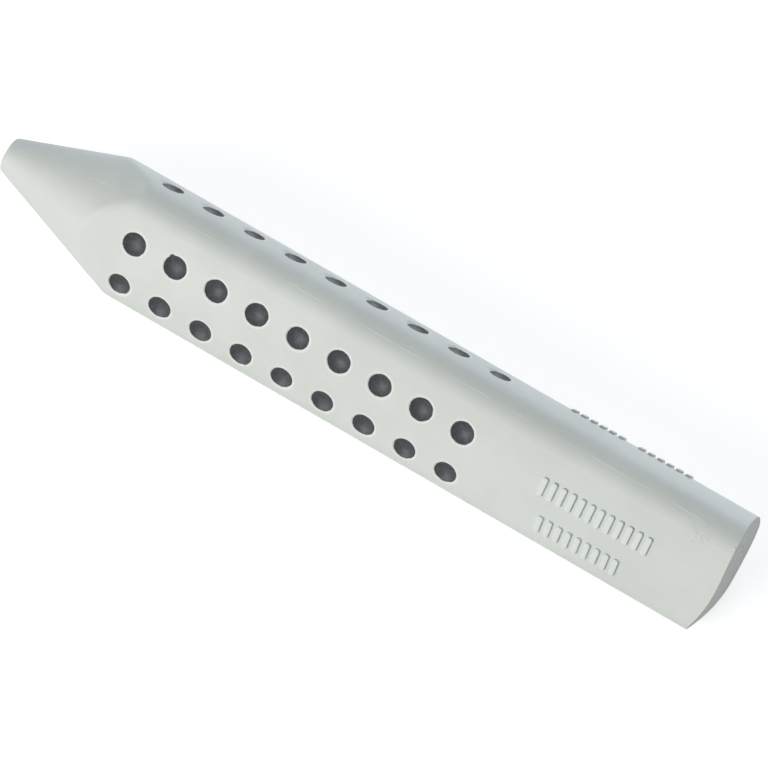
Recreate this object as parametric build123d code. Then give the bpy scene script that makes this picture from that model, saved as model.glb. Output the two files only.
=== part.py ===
"""Three-sided stick eraser: one moulded bar of soft rubber, in millimetres.

The bar lies along X on one of its three crowned faces. Its blunt cone tip points to -X and its
cut butt end to +X. The origin is on the ground under the middle of the bar.
"""
from build123d import *

import os
from math import asin, cos, degrees, radians, sin, sqrt, tan

# Bar
LENGTH = 90.5              # tip to butt, along the longer side
FACE_HEIGHT = 6.22         # bar axis to the middle of each face
FACE_CROWN = 16.2          # radius of the three faces, across the bar
RIDGE_RADIUS = 3.34        # round of the three long ridges
REST_FLAT = 0.05           # how far the soft under face settles into a flat strip

# Tip
TIP_RADIUS = 1.93          # flat at the end of the cone, before its edge is rounded
TIP_EDGE = 0.45            # round of that flat's edge
CONE_ANGLE = 19.6          # half angle of the cone
SHOULDER_ROUND = 1.6       # round where the cone runs out into the bar

# Butt
BUTT_SKEW = 3.0            # the cut is this far from square, about the vertical
TRIM_ANGLE = 20.0          # trimmed corner, measured from square
TRIM_START = 4.3           # bar axis to the start of the trimmed corner
TRIM_DIRECTION = 217       # the trimmed corner's place round the cut, as faces are named below
TRIM_BEND = 14.0           # radius of the bend from the cut into the trimmed corner

# Grip dimples, in two rows on each face
DIMPLE_RADIUS = 1.42       # at the surface, before the rim is rounded
DIMPLE_DEPTH = 0.58
DIMPLE_LIP = 0.3           # round of the rim
DIMPLE_PITCH = 5.08
DIMPLES_PER_ROW = 9
DIMPLE_START = 18.27       # tip to the first dimple's middle
ROW_ANGLES = (-6.3, 13.4)  # each row's place on the face's crown, from its middle

# Moulded relief on two of the faces: rows of plain raised bars
RELIEF_RISE = 0.25
RELIEF_EDGE = 0.12         # round of each raised bar's top edge
RELIEF_WIDTH = 0.66
RELIEF_LENGTH = 2.3
RELIEF_CORNER = 0.25
RELIEF_PITCH = 1.15

# Faces and ridges are named by their outward direction across the bar, in degrees from +Y
# towards +Z: the front face looks up and to -Y, and the bar lies on the under face.
FRONT, BACK, UNDER = 150, 30, 270
FACES = (FRONT, BACK, UNDER)

# Each row of the relief: face, place on its crown in degrees, tip to its first bar, bars
RELIEF_ROWS = (
    (FRONT, -3.8, 69.1, 12),
    (FRONT, 12.0, 70.3, 9),
    (BACK, 1.5, 67.4, 6),
    (BACK, 1.5, 75.6, 6),
)

# Section geometry that follows from the sizes above
CROWN_OFFSET = FACE_CROWN - FACE_HEIGHT      # bar axis to a face's centre of curvature
CENTRE_SPAN = FACE_CROWN - RIDGE_RADIUS      # face's centre of curvature to a ridge's
RIDGE_OFFSET = (sqrt(4 * CENTRE_SPAN**2 - 3 * CROWN_OFFSET**2) - CROWN_OFFSET) / 2
FACE_HALF = degrees(asin(RIDGE_OFFSET * sin(radians(60)) / CENTRE_SPAN))   # half of a face's arc
RIDGE_REACH = RIDGE_OFFSET + RIDGE_RADIUS    # bar axis to the outside of a ridge
HALF_WIDTH = RIDGE_OFFSET * cos(radians(30)) + RIDGE_RADIUS

TIP_X = -LENGTH / 2
BUTT_X = LENGTH / 2
BLOCK_SIDE = 6 * FACE_HEIGHT                 # reaches well past the bar all round
OVERRUN = 5.0                                # how far blanks run past the finished bar


def polar(radius, angle):
    """Point in the section's plane, from the bar's axis."""
    return radius * cos(radians(angle)), radius * sin(radians(angle))


def section():
    """Rounded triangle: three crowned faces, joined by three tangent ridges."""
    ridge_turn = 120 - 2 * FACE_HALF
    arcs = []
    for face in FACES:
        crown_centre = polar(-CROWN_OFFSET, face)
        ridge_centre = polar(RIDGE_OFFSET, face + 60)
        arcs.append(CenterArc(crown_centre, FACE_CROWN, face - FACE_HALF, 2 * FACE_HALF))
        arcs.append(CenterArc(ridge_centre, RIDGE_RADIUS, face + FACE_HALF, ridge_turn))
    return make_face(arcs)


def cone_blank():
    """Turned blank: a cone at the tip, and past the shoulder wider than the bar."""
    reach = RIDGE_REACH + OVERRUN
    cone_end = TIP_X + (reach - TIP_RADIUS) / tan(radians(CONE_ANGLE))
    far_end = BUTT_X + OVERRUN
    corners = [(TIP_X, 0), (TIP_X, TIP_RADIUS), (cone_end, reach), (far_end, reach), (far_end, 0)]
    return revolve(make_face(Polyline(*corners, close=True)), Axis.X)


def bar():
    """Plain bar with its cone tip; cone and faces meet in a scalloped shoulder."""
    prism = extrude(Plane.YZ.offset(TIP_X) * section(), LENGTH + OVERRUN)
    body = prism & cone_blank()
    cone_end = TIP_X + (RIDGE_REACH - TIP_RADIUS) / tan(radians(CONE_ANGLE))
    shoulder = body.edges().filter_by(lambda edge: TIP_X + TIP_EDGE < edge.center().X < cone_end)
    body = fillet(shoulder, SHOULDER_ROUND)
    return fillet(body.edges().group_by(Axis.X)[0], TIP_EDGE)


def cut_butt(body):
    """Cuts the butt a little out of square, and trims one corner off the cut with a soft bend.

    The cuts and the bend are made on a block wider than the bar, which then bounds the bar.
    """
    skew = radians(BUTT_SKEW)
    cut = Plane(origin=(BUTT_X, -HALF_WIDTH, 0), z_dir=(cos(skew), sin(skew), 0))
    start_y, start_z = polar(TRIM_START, TRIM_DIRECTION)
    start_x = BUTT_X - (start_y + HALF_WIDTH) * tan(skew)
    facing = (cos(radians(TRIM_ANGLE)), *polar(sin(radians(TRIM_ANGLE)), TRIM_DIRECTION))
    trim = Plane(origin=(start_x, start_y, start_z), z_dir=facing)
    block = Box(2 * LENGTH, BLOCK_SIDE, BLOCK_SIDE)
    block = split(split(block, bisect_by=cut, keep=Keep.BOTTOM), bisect_by=trim, keep=Keep.BOTTOM)
    corner = block.edges().sort_by_distance((start_x, start_y, start_z))[0]
    return body & fillet(corner, TRIM_BEND)


def on_crown(face, angle, from_tip):
    """Place on a face's crown, with X along the bar and Z straight out of the face."""
    centre_y, centre_z = polar(-CROWN_OFFSET, face)
    out_y, out_z = polar(FACE_CROWN, face + angle)
    middle = (TIP_X + from_tip, centre_y + out_y, centre_z + out_z)
    return Plane(origin=middle, x_dir=(1, 0, 0), z_dir=(0, *polar(1, face + angle))).location


def dimple_ball():
    """Ball whose lowest cap is the dimple, turned so that its seam is at the top."""
    radius = (DIMPLE_RADIUS**2 + DIMPLE_DEPTH**2) / (2 * DIMPLE_DEPTH)
    return Pos(0, 0, radius - DIMPLE_DEPTH) * Rot(0, -90, 0) * Sphere(radius)


def press_dimples(body):
    """Presses two rows of shallow dimples into each face, and rounds their rims."""
    ball = dimple_ball()
    balls = [
        on_crown(face, angle, DIMPLE_START + number * DIMPLE_PITCH) * ball
        for face in FACES
        for angle in ROW_ANGLES
        for number in range(DIMPLES_PER_ROW)
    ]
    body = body - balls
    rims = [edge for dimple in body.faces().filter_by(GeomType.SPHERE) for edge in dimple.edges()]
    return fillet(rims, DIMPLE_LIP)


def relief_bar():
    """One raised bar of the relief, rooted in the face, with its top following the crown."""
    outline = RectangleRounded(RELIEF_WIDTH, RELIEF_LENGTH, RELIEF_CORNER)
    crown = Rot(0, 90, 0) * Cylinder(FACE_CROWN + RELIEF_RISE, 2 * RELIEF_WIDTH)
    raised = extrude(outline, 2 * RELIEF_RISE, both=True) & (Pos(0, 0, -FACE_CROWN) * crown)
    return fillet(raised.edges().filter_by(lambda edge: edge.center().Z > 0), RELIEF_EDGE)


def add_relief(body):
    """Adds the rows of raised bars."""
    raised = relief_bar()
    for face, angle, first, bars in RELIEF_ROWS:
        places = [on_crown(face, angle, first + number * RELIEF_PITCH) for number in range(bars)]
        body = body + [place * raised for place in places]
    return body


def eraser():
    """The whole eraser, lying on its under face, which rests on a narrow flat strip."""
    body = add_relief(press_dimples(cut_butt(bar())))
    rest_height = FACE_HEIGHT - REST_FLAT
    ground = Pos(0, 0, -rest_height - OVERRUN) * Box(LENGTH + 2 * OVERRUN, 2 * RIDGE_REACH, 2 * OVERRUN)
    return Pos(0, 0, rest_height) * (body - ground)


if __name__ == "__main__":
    os.makedirs("parts", exist_ok=True)
    export_step(eraser(), "parts/eraser_bar.step")
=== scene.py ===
"""Three-sided stick eraser of light grey rubber, with dark paint in its grip dimples.

The CAD bar carries the shape. This add-on gives it its rubber and paint, adds the fine moulding
marks that stand on it, and sets the floor, the lights and the camera.
"""
from math import cos, degrees, radians, sin, sqrt, tan

import bpy
from mathutils import Matrix, Vector


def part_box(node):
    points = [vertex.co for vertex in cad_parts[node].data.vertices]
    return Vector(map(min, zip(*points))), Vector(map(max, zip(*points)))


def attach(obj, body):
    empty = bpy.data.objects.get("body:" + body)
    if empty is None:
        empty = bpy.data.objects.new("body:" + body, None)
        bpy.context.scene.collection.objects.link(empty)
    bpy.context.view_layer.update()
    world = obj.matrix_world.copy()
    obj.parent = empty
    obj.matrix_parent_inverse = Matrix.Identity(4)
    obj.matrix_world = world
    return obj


bl_info = {
    "name": "Stick Eraser",
    "version": (1, 0, 0),
    "blender": (4, 5, 0),
    "location": "3D View > Sidebar > Eraser",
    "description": "Finishes a moulded three-sided stick eraser and sets its stage",
    "category": "Object",
}

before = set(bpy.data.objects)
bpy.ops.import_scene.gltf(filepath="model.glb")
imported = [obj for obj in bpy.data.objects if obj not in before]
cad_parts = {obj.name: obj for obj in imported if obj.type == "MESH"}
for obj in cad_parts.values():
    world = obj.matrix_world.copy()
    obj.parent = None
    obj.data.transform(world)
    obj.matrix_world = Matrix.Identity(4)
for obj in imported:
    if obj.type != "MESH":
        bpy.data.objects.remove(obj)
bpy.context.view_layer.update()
BAR = "eraser_bar"
BODY = "root"
LOW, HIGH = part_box(BAR)
MM = 0.001

# Faces and ridges are named by their outward direction across the bar, in degrees from +Y
# towards +Z, as the bar lies on its under face.
FRONT, BACK, UNDER = 150, 30, 270

# A stray blot of paint on the rim of the front face's second dimple
BLOT_ANGLE = -9.8
BLOT_FROM_TIP = 22.6 * MM
BLOT_RADIUS = 0.3 * MM

# Where the seam starts and has worn away, from the tip, and how far it keeps from the shoulder
SEAM_START, SEAM_END = 1.2 * MM, 86.5 * MM
SHOULDER_GAP = 2.5 * MM

# The back face's paint sits a little towards the butt in its dimples, and is scant
BACK_SHIFT = 0.14 * MM
BACK_SHORT = 0.08 * MM

# A scuffed patch on the front face, near the ridge and the butt
SCUFF_ANGLE = -19
SCUFF_FROM_TIP = 86 * MM
SCUFF_RADIUS = 2.2 * MM

# The arc that the blade left on the butt: its centre across the bar from the axis, and its radius
ARC_Y, ARC_Z, ARC_RADIUS = -18.0 * MM, -7.6 * MM, 22.2 * MM


def across(radius, direction):
    """Point (y, z) of a circle across the bar."""
    return radius * cos(radians(direction)), radius * sin(radians(direction))


def linear(red, green, blue):
    """Scene-linear colour of a display colour given as 0 to 255."""
    def channel(level):
        level /= 255
        return level / 12.92 if level <= 0.04045 else ((level + 0.055) / 1.055) ** 2.4
    return channel(red), channel(green), channel(blue)


# ---------------------------------------------------------------- settings


class EraserSettings(bpy.types.PropertyGroup):
    """Sizes and colours of the eraser's finish."""

    rubber_colour: bpy.props.FloatVectorProperty(
        name="Rubber", description="Colour of the clean rubber", subtype="COLOR", default=linear(202, 207, 203)
    )
    paint_colour: bpy.props.FloatVectorProperty(
        name="Paint", description="Colour of the paint in the dimples", subtype="COLOR", default=linear(50, 52, 57)
    )
    face_height: bpy.props.FloatProperty(
        name="Face height", description="Bar axis to the middle of a face", default=6.22 * MM, unit="LENGTH"
    )
    rest_flat: bpy.props.FloatProperty(
        name="Rest flat", description="How far the under face settles", default=0.05 * MM, unit="LENGTH"
    )
    face_crown: bpy.props.FloatProperty(
        name="Face crown", description="Radius of a face across the bar", default=16.2 * MM, unit="LENGTH"
    )
    ridge_radius: bpy.props.FloatProperty(
        name="Ridge radius", description="Round of the three long ridges", default=3.34 * MM, unit="LENGTH"
    )
    dimple_start: bpy.props.FloatProperty(
        name="First dimple", description="Tip to the first dimple's middle", default=18.27 * MM, unit="LENGTH"
    )
    dimple_pitch: bpy.props.FloatProperty(
        name="Dimple pitch", description="Middle to middle along a row", default=5.08 * MM, unit="LENGTH"
    )
    dimples_per_row: bpy.props.IntProperty(
        name="Dimples in a row", description="Number of dimples in each row", default=9, min=1
    )
    row_angles: bpy.props.FloatVectorProperty(
        name="Row angles", description="Places of the two rows on a face's crown", size=2,
        default=(radians(-6.3), radians(13.4)), subtype="EULER", unit="ROTATION"
    )
    paint_radius: bpy.props.FloatProperty(
        name="Paint radius", description="Reach of the paint in a dimple", default=1.335 * MM, unit="LENGTH"
    )
    tip_radius: bpy.props.FloatProperty(
        name="Tip radius", description="Flat at the end of the cone", default=1.93 * MM, unit="LENGTH"
    )
    cone_angle: bpy.props.FloatProperty(
        name="Cone angle", description="Half angle of the tip's cone", default=radians(19.6), unit="ROTATION"
    )
    butt_skew: bpy.props.FloatProperty(
        name="Butt skew", description="How far the butt's cut is from square", default=radians(3), unit="ROTATION"
    )
    seam_radius: bpy.props.FloatProperty(
        name="Seam radius", description="Round of the moulding seam's bead", default=0.055 * MM, unit="LENGTH"
    )
    seam_place: bpy.props.FloatProperty(
        name="Seam place", description="Seam's distance from the top of the ridge", default=0.75 * MM, unit="LENGTH"
    )


class StageSettings(bpy.types.PropertyGroup):
    """Camera, lights and floor."""

    azimuth: bpy.props.FloatProperty(
        name="Azimuth", description="Camera's turn from the front", default=radians(20.15), unit="ROTATION"
    )
    elevation: bpy.props.FloatProperty(
        name="Elevation", description="Camera's height angle", default=radians(60.56), unit="ROTATION"
    )
    roll: bpy.props.FloatProperty(
        name="Roll", description="Camera's turn about its own axis", default=radians(12.19), unit="ROTATION"
    )
    distance: bpy.props.FloatProperty(
        name="Distance", description="Camera to the aimed point", default=697.7 * MM, unit="LENGTH"
    )
    aim: bpy.props.FloatVectorProperty(
        name="Aim", description="Point the camera looks at", default=(2.79 * MM, -1.26 * MM, 5.68 * MM), unit="LENGTH"
    )
    lens: bpy.props.FloatProperty(name="Lens", description="Focal length in millimetres", default=307.7)
    ambient: bpy.props.FloatProperty(name="Ambient", description="Strength of the room's light", default=0.33)
    key_power: bpy.props.FloatProperty(name="Key", description="Front lamp's power", default=3.15, unit="POWER")
    sky_power: bpy.props.FloatProperty(name="Sky", description="Cool top lamp's power", default=0.18, unit="POWER")
    rim_power: bpy.props.FloatProperty(name="Rim", description="Rear lamp's power", default=3.1, unit="POWER")
    floor_colour: bpy.props.FloatVectorProperty(
        name="Floor", description="Colour of the floor", subtype="COLOR", default=(0.62, 0.62, 0.62)
    )
    floor_glow: bpy.props.FloatProperty(
        name="Floor glow", description="How much the floor is lifted towards white as seen", default=0.66
    )


# ---------------------------------------------------------------- node wiring


def plug(tree, given, socket):
    """Links a socket to another, or sets its value."""
    if isinstance(given, bpy.types.NodeSocket):
        tree.links.new(given, socket)
    else:
        socket.default_value = given


def maths(tree, operation, *given):
    """Math node; returns its output."""
    node = tree.nodes.new("ShaderNodeMath")
    node.operation = operation
    for value, socket in zip(given, node.inputs):
        plug(tree, value, socket)
    return node.outputs[0]


def smooth_step(tree, value, low, high):
    """1 above high, 0 below low, smooth between; low above high turns it round."""
    node = tree.nodes.new("ShaderNodeMapRange")
    node.interpolation_type = "SMOOTHSTEP"
    flip = low > high
    plug(tree, value, node.inputs["Value"])
    node.inputs["From Min"].default_value = min(low, high)
    node.inputs["From Max"].default_value = max(low, high)
    node.inputs["To Min"].default_value = 1.0 if flip else 0.0
    node.inputs["To Max"].default_value = 0.0 if flip else 1.0
    return node.outputs["Result"]


def noise(tree, place, scale, detail=2.0, roughness=0.5):
    """Noise about 0.5, with features about 1 / scale metres across."""
    node = tree.nodes.new("ShaderNodeTexNoise")
    plug(tree, place, node.inputs["Vector"])
    node.inputs["Scale"].default_value = scale
    node.inputs["Detail"].default_value = detail
    node.inputs["Roughness"].default_value = roughness
    return node.outputs["Fac"]


def mix_colour(tree, amount, low, high):
    """Colour between two others."""
    node = tree.nodes.new("ShaderNodeMix")
    node.data_type = "RGBA"
    plug(tree, amount, node.inputs["Factor"])
    for given, name in ((low, "A"), (high, "B")):
        socket = next(s for s in node.inputs if s.name == name and s.type == "RGBA")
        plug(tree, given, socket)
    return next(s for s in node.outputs if s.type == "RGBA")


def new_group(name, inputs, outputs):
    """Empty node group with named sockets; returns the tree and its input and output nodes."""
    tree = bpy.data.node_groups.new(name, "ShaderNodeTree")
    for label, kind, default in inputs:
        socket = tree.interface.new_socket(label, in_out="INPUT", socket_type=kind)
        if default is not None:
            socket.default_value = default
    for label, kind in outputs:
        tree.interface.new_socket(label, in_out="OUTPUT", socket_type=kind)
    return tree, tree.nodes.new("NodeGroupInput"), tree.nodes.new("NodeGroupOutput")


def place_group(tree, group, **given):
    """Puts a group in a tree and plugs its inputs, named with _ for each space."""
    node = tree.nodes.new("ShaderNodeGroup")
    node.node_tree = group
    for name, value in given.items():
        plug(tree, value, node.inputs[name.replace("_", " ")])
    return node


NUMBER = "NodeSocketFloat"
POINT = "NodeSocketVector"


def dimple_row_group():
    """How far a point is from the nearest dimple middle of one row, measured in the surface."""
    tree, given, result = new_group(
        "Dimple Row",
        [("Place", POINT, None), ("First", NUMBER, 0.0), ("Pitch", NUMBER, 1.0), ("Last", NUMBER, 8.0),
         ("Middle Y", NUMBER, 0.0), ("Middle Z", NUMBER, 0.0), ("Out Y", NUMBER, 0.0), ("Out Z", NUMBER, 1.0)],
        [("Distance", NUMBER)],
    )
    get = given.outputs
    split = tree.nodes.new("ShaderNodeSeparateXYZ")
    tree.links.new(get["Place"], split.inputs[0])
    steps = maths(tree, "DIVIDE", maths(tree, "SUBTRACT", split.outputs["X"], get["First"]), get["Pitch"])
    nearest = maths(tree, "MINIMUM", maths(tree, "MAXIMUM", maths(tree, "ROUND", steps), 0.0), get["Last"])
    along = maths(tree, "MULTIPLY", maths(tree, "SUBTRACT", steps, nearest), get["Pitch"])
    off_y = maths(tree, "SUBTRACT", split.outputs["Y"], get["Middle Y"])
    off_z = maths(tree, "SUBTRACT", split.outputs["Z"], get["Middle Z"])
    side = maths(tree, "SUBTRACT", maths(tree, "MULTIPLY", off_z, get["Out Y"]), maths(tree, "MULTIPLY", off_y, get["Out Z"]))
    out = maths(tree, "ADD", maths(tree, "MULTIPLY", off_y, get["Out Y"]), maths(tree, "MULTIPLY", off_z, get["Out Z"]))
    flat = maths(tree, "SQRT", maths(tree, "ADD", maths(tree, "POWER", along, 2.0), maths(tree, "POWER", side, 2.0)))
    deep = maths(tree, "LESS_THAN", out, -1.5 * MM)
    tree.links.new(maths(tree, "ADD", flat, deep), result.inputs["Distance"])
    return tree


def grain_group():
    """Fine moulded grain and slow waviness of soft rubber, as a height and a tone."""
    tree, given, result = new_group(
        "Rubber Grain", [("Place", POINT, None), ("Amount", NUMBER, 1.0)], [("Height", NUMBER), ("Tone", NUMBER)]
    )
    place = given.outputs["Place"]
    fine = noise(tree, place, 2600, 3.0, 0.6)
    coarse = noise(tree, place, 420, 2.0)
    wave = noise(tree, place, 60, 1.0)
    height = maths(tree, "ADD", maths(tree, "MULTIPLY", fine, 0.25), maths(tree, "MULTIPLY", coarse, 0.55))
    height = maths(tree, "ADD", height, maths(tree, "MULTIPLY", wave, 2.2))
    tree.links.new(maths(tree, "MULTIPLY", height, given.outputs["Amount"]), result.inputs["Height"])
    cloud = noise(tree, place, 110, 3.0, 0.6)
    tree.links.new(cloud, result.inputs["Tone"])
    return tree


def speck_group():
    """Sparse dark specks, painted shade standing in for pinholes that have no pits in the surface, as a mask."""
    tree, given, result = new_group("Pinholes", [("Place", POINT, None), ("Share", NUMBER, 0.3)], [("Mask", NUMBER)])
    cells = tree.nodes.new("ShaderNodeTexVoronoi")
    cells.inputs["Scale"].default_value = 190
    tree.links.new(given.outputs["Place"], cells.inputs["Vector"])
    chance = tree.nodes.new("ShaderNodeSeparateColor")
    tree.links.new(cells.outputs["Color"], chance.inputs[0])
    chosen = maths(tree, "LESS_THAN", chance.outputs["Red"], given.outputs["Share"])
    dot = smooth_step(tree, cells.outputs["Distance"], 0.022, 0.008)
    tree.links.new(maths(tree, "MULTIPLY", dot, chosen), result.inputs["Mask"])
    return tree


def scratch_group():
    """Fine handling scratches, mostly along the bar, as a height."""
    tree, given, result = new_group("Scratches", [("Place", POINT, None)], [("Height", NUMBER)])
    total = None
    for stretch, turn, keep in (((60, 1700, 1700), 0.03, 0.67), ((110, 1500, 1500), -0.09, 0.7)):
        mapping = tree.nodes.new("ShaderNodeMapping")
        tree.links.new(given.outputs["Place"], mapping.inputs["Vector"])
        mapping.inputs["Rotation"].default_value = (0, 0, turn)
        mapping.inputs["Scale"].default_value = stretch
        lines = smooth_step(tree, noise(tree, mapping.outputs["Vector"], 1.0, 1.0), keep, keep + 0.06)
        total = lines if total is None else maths(tree, "ADD", total, lines)
    tree.links.new(total, result.inputs["Height"])
    return tree


# ---------------------------------------------------------------- materials


def axis_height(settings):
    """Height of the bar's axis above the ground."""
    return settings.face_height - settings.rest_flat


def butt_x(settings, side):
    """Where the butt's cut is, at a distance sideways from the axis."""
    return -LOW.x - (side - LOW.y) * tan(settings.butt_skew)


def on_crown(settings, face, angle, from_tip):
    """Point on a face's crown."""
    middle_y, middle_z = across(settings.face_crown, face + angle)
    centre_y, centre_z = across(settings.face_height - settings.face_crown, face)
    return Vector((LOW.x + from_tip, middle_y + centre_y, middle_z + centre_z + axis_height(settings)))


def reach_from(tree, place, point):
    """Distance of place from a fixed point."""
    node = tree.nodes.new("ShaderNodeVectorMath")
    node.operation = "DISTANCE"
    plug(tree, place, node.inputs[0])
    node.inputs[1].default_value = point
    return node.outputs["Value"]


def principled(material):
    """The material's tree and its Principled BSDF."""
    material.use_nodes = True
    tree = material.node_tree
    return tree, next(node for node in tree.nodes if node.type == "BSDF_PRINCIPLED")


def dimple_distance(tree, place, settings):
    """Distance to the nearest dimple's middle, over all six rows."""
    row = dimple_row_group()
    offset = settings.face_crown - settings.face_height
    nearest = None
    for face in (FRONT, BACK, UNDER):
        shift, short = (BACK_SHIFT, BACK_SHORT) if face == BACK else (0, 0)
        for angle in settings.row_angles:
            turn = face + degrees(angle)
            middle_y, middle_z = across(settings.face_crown, turn)
            centre_y, centre_z = across(-offset, face)
            out_y, out_z = across(1, turn)
            node = place_group(
                tree, row, Place=place, First=LOW.x + settings.dimple_start + shift, Pitch=settings.dimple_pitch,
                Last=settings.dimples_per_row - 1.0, Middle_Y=middle_y + centre_y,
                Middle_Z=middle_z + centre_z + axis_height(settings), Out_Y=out_y, Out_Z=out_z,
            )
            found = maths(tree, "ADD", node.outputs["Distance"], short)
            nearest = found if nearest is None else maths(tree, "MINIMUM", nearest, found)
    return nearest


def raised(tree, place, settings):
    """Mask of the relief's tops, which stand above the crowns of two faces; it places a painted highlight on them."""
    node = tree.nodes.new("ShaderNodeVectorMath")
    node.operation = "MULTIPLY"
    plug(tree, place, node.inputs[0])
    node.inputs[1].default_value = (0, 1, 1)
    highest = None
    for face in (FRONT, BACK):
        centre_y, centre_z = across(settings.face_height - settings.face_crown, face)
        reach = reach_from(tree, node.outputs["Vector"], (0, centre_y, centre_z + axis_height(settings)))
        highest = reach if highest is None else maths(tree, "MAXIMUM", highest, reach)
    return smooth_step(tree, highest, settings.face_crown + 0.08 * MM, settings.face_crown + 0.2 * MM)


def wear(tree, place, settings):
    """Height of the scuffed patch and of the blade's arc on the butt."""
    spot = on_crown(settings, FRONT, SCUFF_ANGLE, SCUFF_FROM_TIP)
    near = smooth_step(tree, reach_from(tree, place, spot), SCUFF_RADIUS, SCUFF_RADIUS * 0.3)
    rubbed = smooth_step(tree, noise(tree, place, 1500, 4.0, 0.7), 0.48, 0.62)
    scuff = maths(tree, "MULTIPLY", maths(tree, "MULTIPLY", near, rubbed), 2.4)
    centre = Vector((HIGH.x, ARC_Y, axis_height(settings) + ARC_Z))
    off = maths(tree, "ABSOLUTE", maths(tree, "SUBTRACT", reach_from(tree, place, centre), ARC_RADIUS))
    split = tree.nodes.new("ShaderNodeSeparateXYZ")
    tree.links.new(place, split.inputs[0])
    leaned = maths(tree, "MULTIPLY_ADD", split.outputs["Y"], tan(settings.butt_skew), split.outputs["X"])
    cut = butt_x(settings, 0)
    on_butt = smooth_step(tree, leaned, cut - 0.3 * MM, cut - 0.1 * MM)
    arc = maths(tree, "MULTIPLY", smooth_step(tree, off, 0.14 * MM, 0.0), on_butt)
    return maths(tree, "ADD", scuff, maths(tree, "MULTIPLY", arc, 6.0))


def rubber_material(settings):
    """Light grey rubber, with ragged dark paint in the dimples."""
    material = bpy.data.materials.new("painted_rubber")
    tree, shader = principled(material)
    place = tree.nodes.new("ShaderNodeTexCoord").outputs["Object"]
    grain = place_group(tree, grain_group(), Place=place, Amount=1.0)

    pale = (*settings.rubber_colour, 1)
    dusky = (*[level * 0.95 for level in settings.rubber_colour], 1)
    # Painted shade: dark specks stand in for the shade inside pinholes.
    pinhole_shade = (*[level * 0.45 for level in settings.rubber_colour], 1)
    rubber = mix_colour(tree, smooth_step(tree, grain.outputs["Tone"], 0.35, 0.65), dusky, pale)
    # Painted highlight: the relief's tops are made 7 % paler than the rubber round them, as if lit.
    clean = (*[level * 1.07 for level in settings.rubber_colour], 1)
    rubber = mix_colour(tree, raised(tree, place, settings), rubber, clean)

    distance = dimple_distance(tree, place, settings)
    ragged = maths(tree, "MULTIPLY", maths(tree, "SUBTRACT", noise(tree, place, 1300, 3.0, 0.65), 0.5), 0.2 * MM)
    lumpy = maths(tree, "MULTIPLY", maths(tree, "SUBTRACT", noise(tree, place, 240), 0.5), 0.25 * MM)
    ragged = maths(tree, "ADD", ragged, lumpy)
    blot = on_crown(settings, FRONT, BLOT_ANGLE, BLOT_FROM_TIP)
    blot_edge = maths(tree, "ADD", reach_from(tree, place, blot), settings.paint_radius - BLOT_RADIUS)
    edge = maths(tree, "ADD", maths(tree, "MINIMUM", distance, blot_edge), ragged)
    painted = smooth_step(tree, edge, settings.paint_radius + 0.02 * MM, settings.paint_radius - 0.05 * MM)
    # Painted highlight: a paler ring round each dimple stands in for light caught on the rounded rims.
    rim = smooth_step(tree, distance, settings.paint_radius + 0.36 * MM, settings.paint_radius + 0.16 * MM)
    rubber = mix_colour(tree, rim, rubber, (*[level * 1.09 for level in settings.rubber_colour], 1))
    dull = (*[level * 0.62 for level in settings.paint_colour], 1)
    bright = (*[level * 1.45 for level in settings.paint_colour], 1)
    paint = mix_colour(tree, smooth_step(tree, noise(tree, place, 2300, 4.0, 0.75), 0.38, 0.7), dull, bright)
    coated = mix_colour(tree, painted, rubber, paint)
    # The pinholes' painted shade is laid over the rubber and the paint.
    pinholes = place_group(tree, speck_group(), Place=place, Share=0.22)
    tree.links.new(mix_colour(tree, pinholes.outputs["Mask"], coated, pinhole_shade), shader.inputs["Base Color"])

    roughness = maths(tree, "SUBTRACT", 0.58, maths(tree, "MULTIPLY", painted, 0.06))
    tree.links.new(roughness, shader.inputs["Roughness"])
    scratches = place_group(tree, scratch_group(), Place=place).outputs["Height"]
    height = maths(tree, "ADD", grain.outputs["Height"], maths(tree, "MULTIPLY", scratches, 0.5))
    height = maths(tree, "ADD", height, wear(tree, place, settings))
    bump = tree.nodes.new("ShaderNodeBump")
    bump.inputs["Distance"].default_value = 0.012 * MM
    tree.links.new(height, bump.inputs["Height"])
    tree.links.new(bump.outputs["Normal"], shader.inputs["Normal"])
    return material


def floor_material(colour, glow):
    """Pale floor that reads as white where nothing shades it."""
    material = bpy.data.materials.new("pale_floor")
    tree, shader = principled(material)
    shader.inputs["Base Color"].default_value = (*colour, 1)
    shader.inputs["Roughness"].default_value = 0.9
    shader.inputs["Specular IOR Level"].default_value = 0.1
    shader.inputs["Emission Color"].default_value = (1, 1, 1, 1)
    light_path = tree.nodes.new("ShaderNodeLightPath")
    seen = maths(tree, "MAXIMUM", light_path.outputs["Is Camera Ray"], light_path.outputs["Is Glossy Ray"])
    tree.links.new(maths(tree, "MULTIPLY", seen, glow), shader.inputs["Emission Strength"])
    return material


# ---------------------------------------------------------------- operators


def clear_selection():
    """Nothing selected, and object mode."""
    if bpy.context.object and bpy.context.object.mode != "OBJECT":
        bpy.ops.object.mode_set(mode="OBJECT")
    bpy.ops.object.select_all(action="DESELECT")


class ERASER_OT_rubber_bar(bpy.types.Operator):
    """Gives the moulded bar its rubber and the paint in its dimples"""

    bl_idname = "eraser.rubber_bar"
    bl_label = "Rubber Bar"

    def execute(self, context):
        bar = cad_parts[BAR]
        material = rubber_material(context.scene.eraser)
        for slot in bar.material_slots:
            slot.material = material
        return {"FINISHED"}


def ridge_circle(settings):
    """Distance from the bar's axis to a ridge's centre of curvature."""
    offset = settings.face_crown - settings.face_height
    span = settings.face_crown - settings.ridge_radius
    return (sqrt(4 * span**2 - 3 * offset**2) - offset) / 2


def settle(piece, material):
    """Finishes a new piece: shading, material, body and slot."""
    bpy.ops.object.transform_apply(location=True, rotation=True, scale=True)
    bpy.ops.object.shade_smooth()
    piece.data.materials.append(material)
    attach(piece, BODY)


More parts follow.
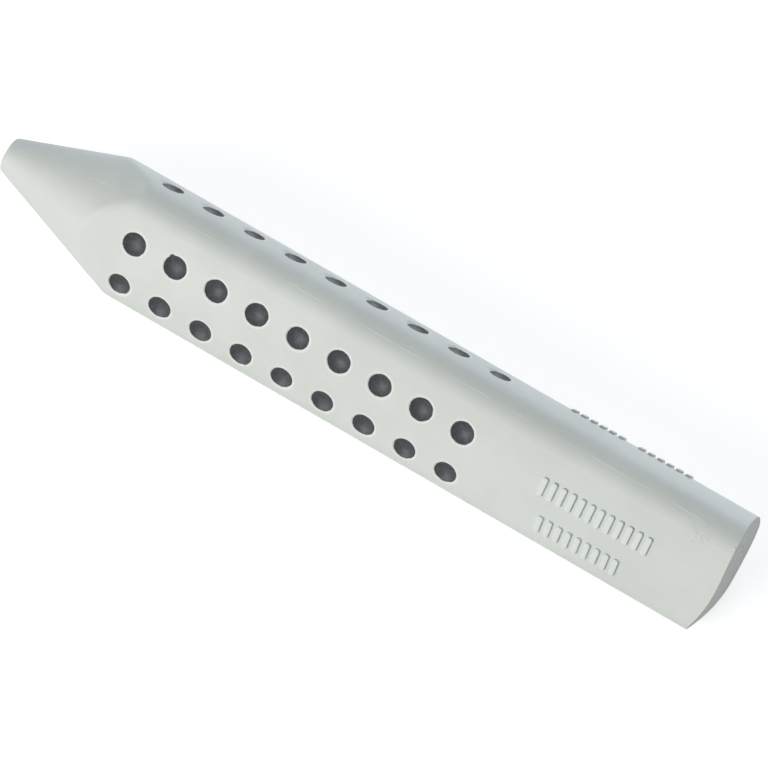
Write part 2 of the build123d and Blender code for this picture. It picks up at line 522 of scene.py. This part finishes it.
def bead(name, start, end, radius, cuts):
    """Thin round bead from start to end, half sunk where it lies on a surface."""
    clear_selection()
    line = end - start
    turn = line.to_track_quat("Z", "Y").to_euler()
    bpy.ops.mesh.primitive_cylinder_add(
        vertices=10, radius=radius, depth=line.length, location=(start + end) / 2, rotation=turn
    )
    piece = bpy.context.object
    piece.name = name
    bpy.ops.object.mode_set(mode="EDIT")
    bpy.ops.mesh.select_mode(type="EDGE")
    bpy.ops.mesh.select_all(action="DESELECT")
    bpy.ops.object.mode_set(mode="OBJECT")
    for edge in piece.data.edges:
        ends = [piece.data.vertices[number].co.z for number in edge.vertices]
        edge.select = abs(ends[0] - ends[1]) > line.length / 2
    bpy.ops.object.mode_set(mode="EDIT")
    bpy.ops.mesh.subdivide(number_cuts=cuts)
    bpy.ops.object.mode_set(mode="OBJECT")
    return piece


def waver(piece, depth, size):
    """Makes a bead come and go, as a worn seam does."""
    texture = bpy.data.textures.new(piece.name + "_waver", "CLOUDS")
    texture.noise_scale = size
    modifier = piece.modifiers.new("waver", "DISPLACE")
    modifier.texture = texture
    modifier.texture_coords = "GLOBAL"
    modifier.strength = depth
    modifier.mid_level = 0.5
    bpy.ops.object.modifier_apply(modifier=modifier.name)


def cone_shoulder(settings):
    """Where the cone meets the ridges, along the bar."""
    reach = ridge_circle(settings) + settings.ridge_radius
    return LOW.x + (reach - settings.tip_radius) / tan(settings.cone_angle)


def seam_point(settings, along):
    """Middle of the seam's bead, sunk a little into the upper ridge or the cone."""
    height = axis_height(settings)
    side = settings.seam_place
    sink = settings.seam_radius * 0.7
    if along > cone_shoulder(settings):
        top = height + ridge_circle(settings) + sqrt(settings.ridge_radius**2 - side**2)
        return Vector((along, -side, top - sink))
    radius = settings.tip_radius + (along - LOW.x) * tan(settings.cone_angle)
    side *= radius / (ridge_circle(settings) + settings.ridge_radius)
    return Vector((along, -side, height + sqrt(radius**2 - side**2) - 1.25 * sink))


class ERASER_OT_seam(bpy.types.Operator):
    """Adds the fine moulding seam along the upper ridge and down the cone"""

    bl_idname = "eraser.seam"
    bl_label = "Moulding Seam"

    def execute(self, context):
        settings = context.scene.eraser
        shoulder_x = cone_shoulder(settings)
        spans = (
            ("seam_cone", LOW.x + SEAM_START, shoulder_x - SHOULDER_GAP, 60),
            ("seam_ridge", shoulder_x + SHOULDER_GAP, LOW.x + SEAM_END, 240),
        )
        for name, start_x, end_x, cuts in spans:
            start, end = (seam_point(settings, x) for x in (start_x, end_x))
            piece = bead(name, start, end, settings.seam_radius, cuts)
            bpy.ops.object.transform_apply(location=True, rotation=True, scale=True)
            waver(piece, 0.07 * MM, 2.5 * MM)
            settle(piece, bpy.data.materials["painted_rubber"])
        return {"FINISHED"}


def aim_matrix(spot, aim, roll):
    """Placement at spot that looks at aim along -Z, rolled about that line."""
    level = (Vector(aim) - Vector(spot)).to_track_quat("-Z", "Y").to_matrix().to_4x4()
    return Matrix.Translation(spot) @ level @ Matrix.Rotation(roll, 4, "Z")


def area_lamp(name, direction, distance, size, power, colour):
    """Square soft lamp that shines on the middle of the bar."""
    middle = (LOW + HIGH) / 2
    data = bpy.data.lights.new(name, "AREA")
    data.size = size
    data.energy = power
    data.color = colour
    lamp = bpy.data.objects.new(name, data)
    bpy.context.scene.collection.objects.link(lamp)
    lamp.matrix_world = aim_matrix(middle + Vector(direction).normalized() * distance, middle, 0)


def pale_room(strength):
    """Even soft light from all round, seen as plain white."""
    world = bpy.data.worlds.new("pale_room")
    bpy.context.scene.world = world
    world.use_nodes = True
    tree = world.node_tree
    background = next(node for node in tree.nodes if node.type == "BACKGROUND")
    background.inputs["Color"].default_value = (1, 1, 1, 1)
    light_path = tree.nodes.new("ShaderNodeLightPath")
    seen = maths(tree, "MAXIMUM", light_path.outputs["Is Camera Ray"], light_path.outputs["Is Glossy Ray"])
    level = maths(tree, "ADD", strength, maths(tree, "MULTIPLY", seen, 1.0 - strength))
    tree.links.new(level, background.inputs["Strength"])


class ERASER_OT_stage(bpy.types.Operator):
    """Sets the floor, the lights and the camera"""

    bl_idname = "eraser.stage"
    bl_label = "Stage"

    def execute(self, context):
        stage = context.scene.eraser_stage
        clear_selection()
        bpy.ops.mesh.primitive_plane_add(size=6, location=(0, 0, LOW.z))
        floor = context.object
        floor.name = "floor"
        floor.data.materials.append(floor_material(stage.floor_colour, stage.floor_glow))
        pale_room(stage.ambient)
        area_lamp("key", (-0.38, -0.84, 0.36), 0.6, 0.4, stage.key_power, (1.0, 0.99, 0.965))
        area_lamp("sky", (0.0, 0.3, 0.95), 0.7, 0.4, stage.sky_power, (0.5, 0.72, 1.0))
        area_lamp("rim", (0.0, 0.98, 0.1), 0.6, 0.35, stage.rim_power, (0.84, 0.9, 1.0))

        data = bpy.data.cameras.new("camera")
        data.lens = stage.lens
        data.clip_start = 0.01
        camera = bpy.data.objects.new("camera", data)
        context.scene.collection.objects.link(camera)
        lift, turn = stage.elevation, stage.azimuth
        back = Vector((sin(turn) * cos(lift), -cos(turn) * cos(lift), sin(lift)))
        aim = Vector(stage.aim)
        camera.matrix_world = aim_matrix(aim + back * stage.distance, aim, stage.roll)
        context.scene.camera = camera
        context.scene.view_settings.view_transform = "Standard"
        return {"FINISHED"}


class ERASER_PT_panel(bpy.types.Panel):
    """Lists the eraser's steps and settings"""

    bl_idname = "ERASER_PT_panel"
    bl_label = "Stick Eraser"
    bl_space_type = "VIEW_3D"
    bl_region_type = "UI"
    bl_category = "Eraser"

    def draw(self, context):
        for step in STEPS:
            self.layout.operator(step.bl_idname)
        for settings in (context.scene.eraser, context.scene.eraser_stage):
            for name in settings.__annotations__:
                self.layout.prop(settings, name)


STEPS = (ERASER_OT_rubber_bar, ERASER_OT_seam, ERASER_OT_stage)
CLASSES = (EraserSettings, StageSettings, *STEPS, ERASER_PT_panel)


def register():
    """Registers the classes and their settings."""
    for one in CLASSES:
        bpy.utils.register_class(one)
    bpy.types.Scene.eraser = bpy.props.PointerProperty(type=EraserSettings)
    bpy.types.Scene.eraser_stage = bpy.props.PointerProperty(type=StageSettings)


def unregister():
    """Takes them away again."""
    del bpy.types.Scene.eraser_stage
    del bpy.types.Scene.eraser
    for one in reversed(CLASSES):
        bpy.utils.unregister_class(one)


def main():
    """Runs every step in order."""
    register()
    bpy.ops.eraser.rubber_bar()
    bpy.ops.eraser.seam()
    bpy.ops.eraser.stage()


if __name__ == "__main__":
    main()
